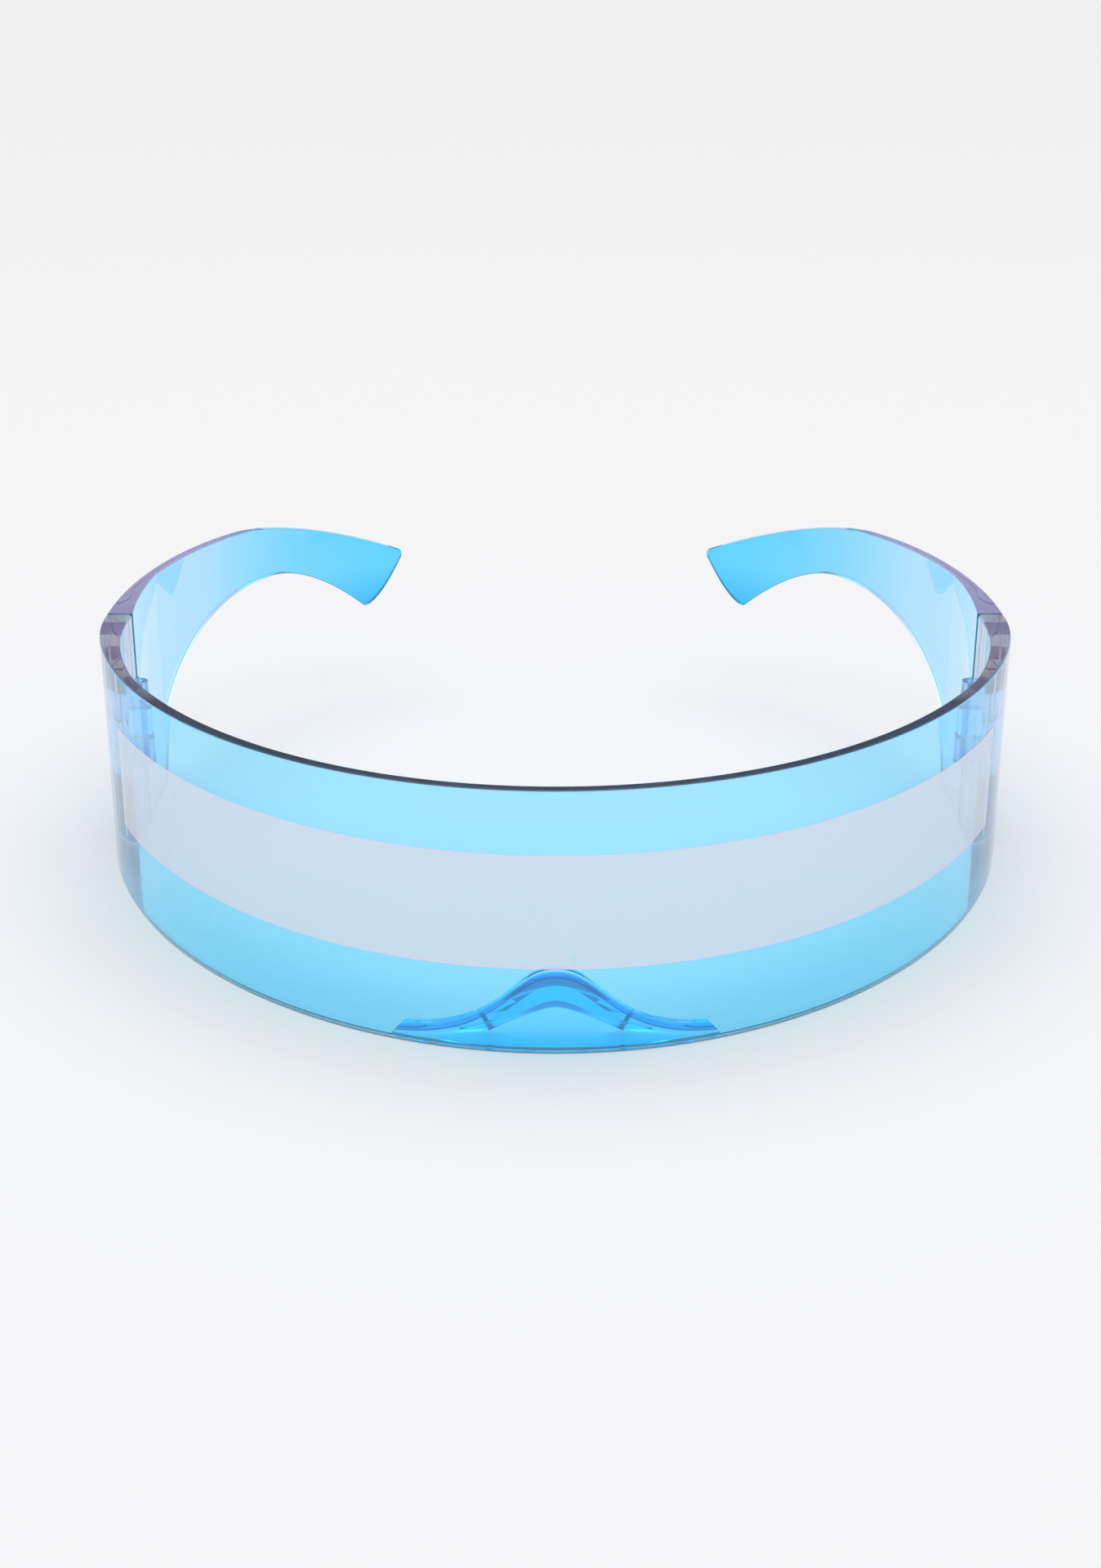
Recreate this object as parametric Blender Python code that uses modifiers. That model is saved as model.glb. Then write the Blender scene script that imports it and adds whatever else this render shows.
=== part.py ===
"""Wrap-around shield glasses: a curved visor with a mirror stripe, a nose bridge and two folding temples.

Metres, +Z up. The lens faces -Y, the temples run towards +Y, and the lower edge of the shield lies at Z = 0.
Left and right are the wearer's: left is +X. The shield's plan is a rounded half oval, and each temple's plan
is one Bezier curve, so every flat band of the object is a ribbon bent along its plan. Plan measures count from
the lens's front, and FRONT_Y puts the middle of the object's length at the origin.
"""

import math

import bmesh
import bpy
from mathutils import Vector, geometry

FRONT_Y = -0.0802

# Shield
HALF_WIDTH = 0.073
SHIELD_DEPTH = 0.080
SHIELD_HEIGHT = 0.0368
PLAN_POWER = 1.21
SHIELD_END = 0.0813
LENS_WALL = 0.0019
END_WALL = 0.0042
WALL_GROWS_FROM = 0.046
WALL_FULL_AT = 0.079
END_CORNER = 0.0010
END_CORNER_SHARES = (0.0, 0.5, 0.87, 1.0)
ANGLE_STEP = 2

# Mirror stripe, in a shallow pocket of the shield's front
STRIPE_LOW = 0.0122
STRIPE_HIGH = 0.0281
STRIPE_END_ANGLE = 64
STRIPE_THICK = 0.0003
CLEARANCE = 0.0003

# Nose bridge
BELL_BASE = 0.0003
BELL_RISE = 0.0107
BELL_HALF = 0.0088
BELL_POWER = 2.4
FLANGE_MARGIN = 0.0006
FLANGE_SHOULDER = 0.0209
FLANGE_END = 0.0224
PLATE_THICK = 0.0010
HOOD_HALF_FRONT = 0.0200
HOOD_HALF_REAR = 0.0087
HOOD_REAR_Y = 0.0070
HOOD_REAR_RISE = 0.0036
HOOD_FOOT = 0.0008
HOOD_ROOT = 0.55
HOOD_REAR_POWER = 1.5
HOOD_THICK = 0.0011
HOOD_STEPS_ACROSS = 40
HOOD_STEPS_BACK = 8

# Temples
TEMPLE_PLAN = ((0.0730, 0.0818), (0.0730, 0.0840), (0.0776, 0.1505), (0.0310, 0.1604))
TEMPLE_ROOT_WALL = 0.0042
TEMPLE_WALL = 0.0020
TEMPLE_TAPER_LENGTH = 0.025
TEMPLE_DROOP_FROM = 0.059
TEMPLE_DROOP = 0.0085
TEMPLE_DROOP_POWER = 1.7
TEMPLE_SAMPLES = 400
ARCH_START = 0.020
ARCH_CREST = 0.068
ARCH_HEIGHT = 0.0269
ARCH_POWER = 1.7
ARCH_ROUNDNESS = 0.6
ARCH_FALL = 0.0094
ARCH_FALL_POWER = 1.9
TIP_HEEL = 0.089
TIP_HEEL_HEIGHT = 0.0175
TIP_EDGE = 0.0008
TIP_POWER = 1.6
TEMPLE_STATIONS = 56
ARCH_START_STEPS = (0.0, 0.0003, 0.0007)

# Hinges
AXIS_X = 0.0688
AXIS_Y = 0.08155
HINGE_LOW = 0.0114
HINGE_HIGH = 0.0254
TONGUE_LOW = 0.0160
TONGUE_HIGH = 0.0208
KNUCKLE_RADIUS = 0.0017
BORE_RADIUS = 0.00095
PIN_RADIUS = 0.00065
PIN_CHAMFER = 0.00015
ROUND_SEGMENTS = 24
CUT_MARGIN = 0.002

BLUE = (0.10, 0.52, 0.95, 1.0)
SILVER = (0.78, 0.80, 0.84, 1.0)
SIDES = {"left": 1, "right": -1}


def clear_scene():
    """Remove every object of the scene."""
    for obj in list(bpy.data.objects):
        bpy.data.objects.remove(obj, do_unlink=True)


def new_collection(name):
    """Return a new collection linked to the scene."""
    collection = bpy.data.collections.new(name)
    bpy.context.scene.collection.children.link(collection)
    return collection


def plastic(name, colour, roughness, metallic=0.0, transmission=0.0):
    """Return a Principled material of one colour."""
    material = bpy.data.materials.new(name)
    material.use_nodes = True
    shader = material.node_tree.nodes["Principled BSDF"]
    shader.inputs["Base Color"].default_value = colour
    shader.inputs["Roughness"].default_value = roughness
    shader.inputs["Metallic"].default_value = metallic
    shader.inputs["Transmission Weight"].default_value = transmission
    return material


def add_part(name, mesh, material, collection):
    """Link a mesh to the object's collection as a named part."""
    mesh.name = name
    obj = bpy.data.objects.new(name, mesh)
    mesh.materials.append(material)
    collection.objects.link(obj)
    return obj


def add_cutter(name, mesh, collection):
    """Link a mesh as a hidden helper of a Boolean."""
    obj = bpy.data.objects.new(name, mesh)
    obj.hide_render = True
    obj.display_type = "WIRE"
    collection.objects.link(obj)
    return obj


def combine(obj, other, operation):
    """Add an exact Boolean of the other object to this one."""
    modifier = obj.modifiers.new(f"{operation.lower()} {other.name}", "BOOLEAN")
    modifier.operation = operation
    modifier.solver = "EXACT"
    modifier.object = other


def ribbon(stations):
    """Return a closed band, lofted through stations of (outer point, inner point, low, high)."""
    mesh = bpy.data.meshes.new("ribbon")
    bm = bmesh.new()
    rings = []
    for outer, inner, low, high in stations:
        corners = ((outer, low), (outer, high), (inner, high), (inner, low))
        rings.append([bm.verts.new((point[0], point[1] + FRONT_Y, z)) for point, z in corners])
    for ring, after in zip(rings, rings[1:]):
        for i in range(4):
            j = (i + 1) % 4
            bm.faces.new((ring[i], ring[j], after[j], after[i]))
    bm.faces.new(rings[0])
    bm.faces.new(reversed(rings[-1]))
    bmesh.ops.recalc_face_normals(bm, faces=bm.faces)
    bm.to_mesh(mesh)
    bm.free()
    return mesh


def cylinder(x, y, low, high, radius):
    """Return an upright closed cylinder."""
    mesh = bpy.data.meshes.new("cylinder")
    bm = bmesh.new()
    bmesh.ops.create_cone(
        bm,
        cap_ends=True,
        segments=ROUND_SEGMENTS,
        radius1=radius,
        radius2=radius,
        depth=high - low,
    )
    bmesh.ops.translate(bm, verts=bm.verts, vec=(x, y + FRONT_Y, (low + high) / 2))
    bm.to_mesh(mesh)
    bm.free()
    return mesh


def front_point(degrees, inset=0.0):
    """Return a point of the shield's plan, inset from its front, at an angle from the middle."""
    angle = math.radians(degrees)
    sine, cosine = math.sin(angle), max(math.cos(angle), 0.0)
    point = Vector((HALF_WIDTH * sine, SHIELD_DEPTH * (1 - cosine**PLAN_POWER)))
    tangent = Vector((HALF_WIDTH * cosine ** (2 - PLAN_POWER), SHIELD_DEPTH * PLAN_POWER * sine))
    tangent.normalize()
    return point + inset * Vector((-tangent.y, tangent.x))


def lens_wall(y):
    """Return the shield's wall at a depth: even at the front, thicker towards the hinges."""
    share = (y - WALL_GROWS_FROM) / (WALL_FULL_AT - WALL_GROWS_FROM)
    return LENS_WALL + (END_WALL - LENS_WALL) * min(max(share, 0.0), 1.0)


def shield_stations():
    """Return the stations of the whole shield, from its right end to its left end."""
    half = []
    for degrees in range(0, 91, ANGLE_STEP):
        depth = front_point(degrees).y
        half.append((front_point(degrees), front_point(degrees, lens_wall(depth))))
    for share in END_CORNER_SHARES:
        y = SHIELD_END - END_CORNER * (1 - share)
        inner = HALF_WIDTH - END_WALL + END_CORNER * (1 - math.sqrt(1 - share**2))
        half.append((Vector((HALF_WIDTH, y)), Vector((inner, y))))
    other = [tuple(Vector((-p.x, p.y)) for p in pair) for pair in reversed(half[1:])]
    return [(outer, inner, 0.0, SHIELD_HEIGHT) for outer, inner in other + half]


def band_stations(end_angle, outer_inset, inner_inset, low, high):
    """Return the stations of a band that follows the shield's front between two angles."""
    whole = list(range(ANGLE_STEP, math.ceil(end_angle), ANGLE_STEP))
    angles = [-end_angle, *(-a for a in reversed(whole)), 0, *whole, end_angle]
    return [
        (front_point(a, outer_inset), front_point(a, inner_inset), low, high) for a in angles
    ]


def bell(x):
    """Return the height of the nose bridge's upper line."""
    return BELL_BASE + BELL_RISE / (1 + (abs(x) / BELL_HALF) ** BELL_POWER)


def flange_top(x):
    """Return the upper edge of the nose bridge's bonding plate."""
    if abs(x) <= FLANGE_SHOULDER:
        return bell(x) + FLANGE_MARGIN
    shoulder = bell(FLANGE_SHOULDER) + FLANGE_MARGIN
    share = (abs(x) - FLANGE_SHOULDER) / (FLANGE_END - FLANGE_SHOULDER)
    return shoulder + (BELL_BASE - shoulder) * share


def angle_at(x):
    """Return the plan angle, in degrees, of a place across the shield."""
    return math.degrees(math.asin(x / HALF_WIDTH))


def plate_stations():
    """Return the stations of the nose bridge's plate, which follows the back of the lens."""
    steps = HOOD_STEPS_ACROSS
    places = [FLANGE_SHOULDER * (2 * i / steps - 1) for i in range(steps + 1)]
    stations = []
    for x in (-FLANGE_END, *places, FLANGE_END):
        outer = front_point(angle_at(x), LENS_WALL + CLEARANCE)
        inner = front_point(angle_at(x), LENS_WALL + CLEARANCE + PLATE_THICK)
        stations.append((outer, inner, 0.0, flange_top(x)))
    return stations


def hood_point(across, back):
    """Return a point of the hood's middle surface: across from -1 to 1, back from 0 to 1."""
    x = HOOD_HALF_FRONT * across
    front = front_point(angle_at(x), LENS_WALL + CLEARANCE + HOOD_ROOT * PLATE_THICK)
    start = Vector((front.x, front.y, bell(x) - HOOD_THICK / 2))
    rise = HOOD_REAR_RISE * (1 - abs(across) ** HOOD_REAR_POWER)
    end = Vector((HOOD_HALF_REAR * across, HOOD_REAR_Y, HOOD_FOOT + rise))
    return start.lerp(end, back)


def hood_mesh():
    """Return the open surface of the hood between the bell line and the nose arch."""
    mesh = bpy.data.meshes.new("hood")
    bm = bmesh.new()
    grid = []
    for i in range(HOOD_STEPS_ACROSS + 1):
        across = 2 * i / HOOD_STEPS_ACROSS - 1
        column = [hood_point(across, j / HOOD_STEPS_BACK) for j in range(HOOD_STEPS_BACK + 1)]
        grid.append([bm.verts.new((point.x, point.y + FRONT_Y, point.z)) for point in column])
    for near, far in zip(grid, grid[1:]):
        for j in range(HOOD_STEPS_BACK):
            bm.faces.new((near[j], far[j], far[j + 1], near[j + 1]))
    bm.to_mesh(mesh)
    bm.free()
    return mesh


def temple_curve():
    """Return the left temple's plan as (length so far, point, inward normal)."""
    corners = [Vector(corner) for corner in TEMPLE_PLAN]
    points = geometry.interpolate_bezier(*corners, TEMPLE_SAMPLES)
    length = 0.0
    curve = []
    for i, point in enumerate(points):
        if i:
            length += (point - points[i - 1]).length
        ahead = points[min(i + 1, len(points) - 1)] - points[max(i - 1, 0)]
        curve.append((length, point, Vector((-ahead.y, ahead.x)).normalized()))
    return curve


def temple_top(s, end):
    """Return the height of a temple's upper edge at a length along it."""
    share = max(s - TEMPLE_DROOP_FROM, 0.0) / (end - TEMPLE_DROOP_FROM)
    return SHIELD_HEIGHT - TEMPLE_DROOP * share**TEMPLE_DROOP_POWER


def temple_bottom(s, end):
    """Return the height of a temple's lower edge: a steep arch, a slow fall and the slanted tip."""
    if s <= ARCH_START:
        return 0.0
    if s <= ARCH_CREST:
        share = (ARCH_CREST - s) / (ARCH_CREST - ARCH_START)
        return ARCH_HEIGHT * (1 - share**ARCH_POWER) ** ARCH_ROUNDNESS
    if s <= TIP_HEEL:
        share = (s - ARCH_CREST) / (TIP_HEEL - ARCH_CREST)
        return ARCH_HEIGHT - ARCH_FALL * share**ARCH_FALL_POWER
    share = (s - TIP_HEEL) / (end - TIP_HEEL)
    tip = temple_top(end, end) - TIP_EDGE
    return TIP_HEEL_HEIGHT + (tip - TIP_HEEL_HEIGHT) * share**TIP_POWER


def temple_stations(side):
    """Return the stations of one temple, closer together where its lower edge is steep."""
    curve = temple_curve()
    end = curve[-1][0]
    steps = [end * i / TEMPLE_STATIONS for i in range(TEMPLE_STATIONS + 1)]
    steps += [ARCH_START + step for step in ARCH_START_STEPS]
    stations = []
    for s in sorted(steps):
        _, point, inward = min(curve, key=lambda place: abs(place[0] - s))
        taper = min(s / TEMPLE_TAPER_LENGTH, 1.0)
        wall = TEMPLE_ROOT_WALL + (TEMPLE_WALL - TEMPLE_ROOT_WALL) * taper
        inner = point + wall * inward
        low, high = temple_bottom(s, end), temple_top(s, end)
        outer_xy, inner_xy = (side * point.x, point.y), (side * inner.x, inner.y)
        stations.append((outer_xy, inner_xy, low, high))
    return stations


def make_shield(material, parts, helpers):
    """Make the shield with its stripe pocket and, at each end, two hinge lugs."""
    shield = add_part("shield", ribbon(shield_stations()), material, parts)
    for side_name, side in SIDES.items():
        x = side * AXIS_X
        lugs = ((HINGE_LOW, TONGUE_LOW - CLEARANCE), (TONGUE_HIGH + CLEARANCE, HINGE_HIGH))
        for place, (low, high) in zip(("lower", "upper"), lugs):
            lug = cylinder(x, AXIS_Y, low, high, KNUCKLE_RADIUS)
            combine(shield, add_cutter(f"{side_name} {place} lug", lug, helpers), "UNION")
        relief = cylinder(
            x, AXIS_Y, TONGUE_LOW - CLEARANCE, TONGUE_HIGH + CLEARANCE, KNUCKLE_RADIUS + CLEARANCE
        )
        bore = cylinder(x, AXIS_Y, HINGE_LOW - CLEARANCE, HINGE_HIGH + CLEARANCE, BORE_RADIUS)
        combine(shield, add_cutter(f"{side_name} slot", relief, helpers), "DIFFERENCE")
        combine(shield, add_cutter(f"{side_name} shield bore", bore, helpers), "DIFFERENCE")
    pocket = band_stations(
        STRIPE_END_ANGLE, -CUT_MARGIN, STRIPE_THICK + CLEARANCE, STRIPE_LOW, STRIPE_HIGH
    )
    combine(shield, add_cutter("stripe pocket", ribbon(pocket), helpers), "DIFFERENCE")
    return shield


def make_stripe(material, parts):
    """Make the mirror film that lies in the shield's pocket, flush with its front."""
    low, high = STRIPE_LOW + CLEARANCE, STRIPE_HIGH - CLEARANCE
    end_angle = STRIPE_END_ANGLE - math.degrees(CLEARANCE / HALF_WIDTH)
    stations = band_stations(end_angle, 0.0, STRIPE_THICK, low, high)
    return add_part("mirror_stripe", ribbon(stations), material, parts)


def make_nose_bridge(material, parts, helpers):
    """Make the nose bridge: a plate behind the lens and a hood that slopes down to the nose arch."""
    bridge = add_part("nose_bridge", ribbon(plate_stations()), material, parts)
    hood = add_cutter("hood", hood_mesh(), helpers)
    wall = hood.modifiers.new("wall", "SOLIDIFY")
    wall.thickness = HOOD_THICK
    wall.offset = 0.0
    combine(bridge, hood, "UNION")
    return bridge


def make_temple(side_name, material, parts, helpers):
    """Make one temple with its hinge tongue; its origin lies on the hinge axis."""
    side = SIDES[side_name]
    x = side * AXIS_X
    temple = add_part(f"temple_{side_name}", ribbon(temple_stations(side)), material, parts)
    tongue = cylinder(x, AXIS_Y, TONGUE_LOW, TONGUE_HIGH, KNUCKLE_RADIUS)
    combine(temple, add_cutter(f"{side_name} tongue", tongue, helpers), "UNION")
    reliefs = (
        (HINGE_LOW - CLEARANCE, TONGUE_LOW),
        (TONGUE_HIGH, HINGE_HIGH + CLEARANCE),
    )
    for place, (low, high) in zip(("lower", "upper"), reliefs):
        relief = cylinder(x, AXIS_Y, low, high, KNUCKLE_RADIUS + CLEARANCE)
        combine(temple, add_cutter(f"{side_name} {place} relief", relief, helpers), "DIFFERENCE")
    bore = cylinder(x, AXIS_Y, TONGUE_LOW - CUT_MARGIN, TONGUE_HIGH + CUT_MARGIN, BORE_RADIUS)
    combine(temple, add_cutter(f"{side_name} temple bore", bore, helpers), "DIFFERENCE")
    axis = Vector((x, AXIS_Y + FRONT_Y, 0.0))
    for obj in (temple, *(modifier.object for modifier in temple.modifiers)):
        for vertex in obj.data.vertices:
            vertex.co -= axis
        obj.location = axis
    return temple


def make_pin(side_name, material, parts):
    """Make one headless hinge pin, which lies inside the knuckles."""
    x = SIDES[side_name] * AXIS_X
    shaft = cylinder(x, AXIS_Y, HINGE_LOW + CLEARANCE, HINGE_HIGH - CLEARANCE, PIN_RADIUS)
    pin = add_part(f"hinge_pin_{side_name}", shaft, material, parts)
    chamfer = pin.modifiers.new("chamfer", "BEVEL")
    chamfer.width = PIN_CHAMFER
    chamfer.segments = 1
    chamfer.limit_method = "ANGLE"
    return pin


def main():
    """Build the glasses."""
    clear_scene()
    parts = new_collection("shield_glasses")
    helpers = new_collection("cutters")
    tinted = {
        name: plastic(f"blue plastic {name}", BLUE, 0.05, transmission=1.0)
        for name in ("shield", "nose bridge", "temple left", "temple right")
    }
    make_shield(tinted["shield"], parts, helpers)
    make_stripe(plastic("silver mirror film", SILVER, 0.12, metallic=1.0), parts)
    make_nose_bridge(tinted["nose bridge"], parts, helpers)
    for side_name in SIDES:
        make_temple(side_name, tinted[f"temple {side_name}"], parts, helpers)
        pin_finish = plastic(f"blue plastic pin {side_name}", BLUE, 0.15, transmission=1.0)
        make_pin(side_name, pin_finish, parts)


main()
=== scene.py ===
"""Looks of the wrap-around shield glasses: clear blue plastic and a mirror stripe, in a white studio.

The shield, the stripe and the temples are blank bars, rounded along all their edges, that a rule bends into
their places in the CAD frame; the nose bridge is a plate and a hood, and the hinge pins are drums.
Metres, +Z up. The lens faces -Y, the temples run towards +Y, and left is the wearer's left, +X.
"""

import logging
import math
from abc import ABC, abstractmethod
from collections.abc import Sequence
from dataclasses import dataclass
from enum import Enum
from typing import Any

import bmesh
import bpy
from bpy.types import Material, Mesh, Node, NodeSocket, NodeTree, Object, World
from mathutils import Matrix, Vector


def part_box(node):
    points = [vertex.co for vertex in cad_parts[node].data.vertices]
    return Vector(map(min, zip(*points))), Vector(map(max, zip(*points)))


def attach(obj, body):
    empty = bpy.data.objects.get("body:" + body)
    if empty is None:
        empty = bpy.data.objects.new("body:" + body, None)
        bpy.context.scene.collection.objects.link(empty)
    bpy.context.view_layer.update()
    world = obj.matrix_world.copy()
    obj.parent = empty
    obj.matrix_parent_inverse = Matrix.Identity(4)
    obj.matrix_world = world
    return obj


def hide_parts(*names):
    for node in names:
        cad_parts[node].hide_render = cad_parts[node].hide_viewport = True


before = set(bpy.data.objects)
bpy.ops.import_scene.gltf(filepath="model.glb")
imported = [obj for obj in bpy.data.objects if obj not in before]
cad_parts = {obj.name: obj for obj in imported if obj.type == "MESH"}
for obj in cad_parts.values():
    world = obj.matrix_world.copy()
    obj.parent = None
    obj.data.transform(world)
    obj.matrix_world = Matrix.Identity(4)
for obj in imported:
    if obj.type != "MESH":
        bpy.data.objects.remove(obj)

log = logging.getLogger("shield_glasses")

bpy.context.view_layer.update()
FRONT_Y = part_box("shield")[0].y
SMOOTH_ANGLE = math.radians(32)
HEIGHT = 0.0368
STRIPE = (0.0122, 0.0281)

Pair = tuple[float, float]
Point = tuple[float, float, float]
Colour = tuple[float, float, float]


class Side(Enum):
    """The wearer's side that a piece belongs to; the value is the sign of its X."""

    LEFT = 1
    RIGHT = -1

    @property
    def word(self) -> str:
        """The side's name as the CAD nodes have it."""
        return self.name.lower()


# ---- node trees


@dataclass(frozen=True)
class Term:
    """A socket of a node tree. Arithmetic on it adds Math nodes to the tree."""

    tree: NodeTree
    socket: NodeSocket

    def math(self, operation: str, *others: Any) -> "Term":
        """Add one Math node that takes this socket first.

        Args:
            operation: The Math node's operation.
            *others: Its other values, as terms or numbers.

        Returns:
            The node's result.
        """
        node = self.tree.nodes.new("ShaderNodeMath")
        node.operation = operation
        for place, value in enumerate((self, *others)):
            put(self.tree, node.inputs[place], value)
        return Term(self.tree, node.outputs[0])

    def number(self, value: float) -> "Term":
        """Return a Value node, for a number that comes first in an operation."""
        node = self.tree.nodes.new("ShaderNodeValue")
        node.outputs[0].default_value = value
        return Term(self.tree, node.outputs[0])

    def __add__(self, other: Any) -> "Term":
        """Return self + other."""
        return self.math("ADD", other)

    def __sub__(self, other: Any) -> "Term":
        """Return self - other."""
        return self.math("SUBTRACT", other)

    def __mul__(self, other: Any) -> "Term":
        """Return self * other."""
        return self.math("MULTIPLY", other)

    def __truediv__(self, other: Any) -> "Term":
        """Return self / other."""
        return self.math("DIVIDE", other)

    def __pow__(self, other: Any) -> "Term":
        """Return self ** other."""
        return self.math("POWER", other)

    def __gt__(self, other: Any) -> "Term":
        """Return 1 where self is greater than other, and 0 elsewhere."""
        return self.math("GREATER_THAN", other)

    def __lt__(self, other: Any) -> "Term":
        """Return 1 where self is less than other, and 0 elsewhere."""
        return self.math("LESS_THAN", other)

    def __radd__(self, other: float) -> "Term":
        """Return other + self."""
        return self.math("ADD", other)

    def __rmul__(self, other: float) -> "Term":
        """Return other * self."""
        return self.math("MULTIPLY", other)

    def __rsub__(self, other: float) -> "Term":
        """Return other - self."""
        return self.number(other).math("SUBTRACT", self)

    def __rtruediv__(self, other: float) -> "Term":
        """Return other / self."""
        return self.number(other).math("DIVIDE", self)

    def share(self, low: Any, high: Any) -> "Term":
        """Return 0 at low, 1 at high and the clamped share between them."""
        span = (self - low) / (high - low)
        return span.math("MAXIMUM", 0.0).math("MINIMUM", 1.0)

    def between(self, low: float, high: float) -> "Term":
        """Return 1 between low and high, and 0 elsewhere."""
        return (self > low) * (self < high)


def put(tree: NodeTree, socket: NodeSocket, value: Any) -> None:
    """Give a socket a link or a value.

    Args:
        tree: The tree that holds the socket.
        socket: The input socket.
        value: A term, an output socket, a number or a tuple.
    """
    if isinstance(value, Term):
        tree.links.new(value.socket, socket)
    elif isinstance(value, NodeSocket):
        tree.links.new(value, socket)
    else:
        socket.default_value = value


class Graph:
    """A node tree that the script fills through one method."""

    def __init__(self, tree: NodeTree) -> None:
        """Keep the tree that the nodes go into."""
        self.tree = tree

    def node(
        self, kind: str, settings: dict[str, Any] | None = None, sockets: dict[Any, Any] | None = None
    ) -> Node:
        """Add one node.

        Args:
            kind: The node's type name.
            settings: Its properties, which are set first.
            sockets: Values or links of its inputs, by name or index.

        Returns:
            The node.
        """
        node = self.tree.nodes.new(kind)
        for name, value in (settings or {}).items():
            setattr(node, name, value)
        for name, value in (sockets or {}).items():
            put(self.tree, node.inputs[name], value)
        return node

    def term(self, node: Node, output: str | int = 0) -> Term:
        """Return a node's output as a term."""
        return Term(self.tree, node.outputs[output])

    def axes(self, vector: NodeSocket) -> tuple[Term, Term, Term]:
        """Return a vector's X, Y and Z."""
        parts = self.node("ShaderNodeSeparateXYZ", sockets={0: vector})
        return self.term(parts, "X"), self.term(parts, "Y"), self.term(parts, "Z")

    def noise(self, place: NodeSocket, scale: float, detail: float) -> Term:
        """Return the value of a noise texture."""
        sockets = {"Vector": place, "Scale": scale, "Detail": detail}
        return self.term(self.node("ShaderNodeTexNoise", sockets=sockets))

    def mix(self, share: Term, first: Any, second: Any) -> NodeSocket:
        """Return a colour that turns from one to another.

        Args:
            share: The second colour's share.
            first: The colour at 0, as a tuple or a socket.
            second: The colour at 1, as a tuple or a socket.

        Returns:
            The mixed colour's socket.
        """
        ends = [(*end, 1.0) if isinstance(end, tuple) else end for end in (first, second)]
        sockets = {"Factor": share, 6: ends[0], 7: ends[1]}
        return self.node("ShaderNodeMix", {"data_type": "RGBA"}, sockets).outputs[2]


def shader_graph(owner: Material | World) -> Graph:
    """Return a material's or a world's node tree, emptied."""
    owner.use_nodes = True
    owner.node_tree.nodes.clear()
    return Graph(owner.node_tree)


class GeometryTree(Graph):
    """A Geometry Nodes tree with named inputs, used once on a blank and then applied."""

    def __init__(self, name: str) -> None:
        """Make an empty tree with a geometry input and output.

        Args:
            name: The tree's name.
        """
        super().__init__(bpy.data.node_groups.new(name, "GeometryNodeTree"))
        for way in ("INPUT", "OUTPUT"):
            self.tree.interface.new_socket("Geometry", in_out=way, socket_type="NodeSocketGeometry")
        self.entry = self.node("NodeGroupInput")
        self.keys: dict[str, str] = {}

    def size(self, name: str, value: float) -> Term:
        """Add a named number to the tree's inputs.

        Args:
            name: What the number is.
            value: Its default.

        Returns:
            The input as a term.
        """
        item = self.tree.interface.new_socket(name, in_out="INPUT", socket_type="NodeSocketFloat")
        item.default_value = value
        self.keys[name] = item.identifier
        return self.term(self.entry, name)

    def place(self) -> tuple[Term, Term, Term]:
        """Return the blank's own X, Y and Z."""
        return self.axes(self.node("GeometryNodeInputPosition").outputs[0])

    def finish(self, x: Term, y: Term, z: Term, material: Material) -> None:
        """End the tree: move the blank's points, realise and give the material.

        Args:
            x: The new X of each point.
            y: The new Y of each point.
            z: The new Z of each point.
            material: The finish of the piece.
        """
        point = self.node("ShaderNodeCombineXYZ", sockets={"X": x, "Y": y, "Z": z})
        moved = self.node(
            "GeometryNodeSetPosition",
            sockets={"Geometry": self.entry.outputs["Geometry"], "Position": point.outputs[0]},
        )
        real = self.node("GeometryNodeRealizeInstances", sockets={"Geometry": moved.outputs[0]})
        dressed = self.node(
            "GeometryNodeSetMaterial", sockets={"Geometry": real.outputs[0], "Material": material}
        )
        self.node("NodeGroupOutput", sockets={"Geometry": dressed.outputs[0]})

    def apply(self, name: str, blank: Mesh, sizes: dict[str, float]) -> Mesh:
        """Run the tree on a blank.

        Args:
            name: The name of the new mesh.
            blank: The mesh that the tree bends.
            sizes: The inputs' values, by name.

        Returns:
            The bent mesh, with no modifier left.
        """
        holder = linked(name, blank)
        modifier = holder.modifiers.new(self.tree.name, "NODES")
        modifier.node_group = self.tree
        for size, value in sizes.items():
            modifier[self.keys[size]] = value
        mesh = evaluated_mesh(holder)
        mesh.name = name
        bpy.data.objects.remove(holder)
        return mesh


def evaluated_mesh(obj: Object) -> Mesh:
    """Return an object's mesh as its modifiers make it."""
    graph = bpy.context.evaluated_depsgraph_get()
    return bpy.data.meshes.new_from_object(obj.evaluated_get(graph), depsgraph=graph)


def linked(name: str, data: Any) -> Object:
    """Return a new object of the scene that shows the data."""
    obj = bpy.data.objects.new(name, data)
    bpy.context.scene.collection.objects.link(obj)
    return obj


# ---- mesh tools


def to_mesh(bm: bmesh.types.BMesh, name: str) -> Mesh:
    """Write a bmesh to a new mesh and free it."""
    mesh = bpy.data.meshes.new(name)
    bm.to_mesh(mesh)
    bm.free()
    return mesh


def lofted(rings: Sequence[Sequence[Point]], name: str) -> Mesh:
    """Close a mesh through rings of points.

    Args:
        rings: The rings in order, each with as many points as the others.
        name: The mesh's name.

    Returns:
        The mesh, with a face over each end and all its faces outwards.
    """
    bm = bmesh.new()
    loops = [[bm.verts.new(point) for point in ring] for ring in rings]
    for loop, after in zip(loops, loops[1:]):
        for i, vertex in enumerate(loop):
            j = (i + 1) % len(loop)
            bm.faces.new((vertex, loop[j], after[j], after[i]))
    bm.faces.new(loops[0])
    bm.faces.new(reversed(loops[-1]))
    bmesh.ops.recalc_face_normals(bm, faces=bm.faces)
    return to_mesh(bm, name)


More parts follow.
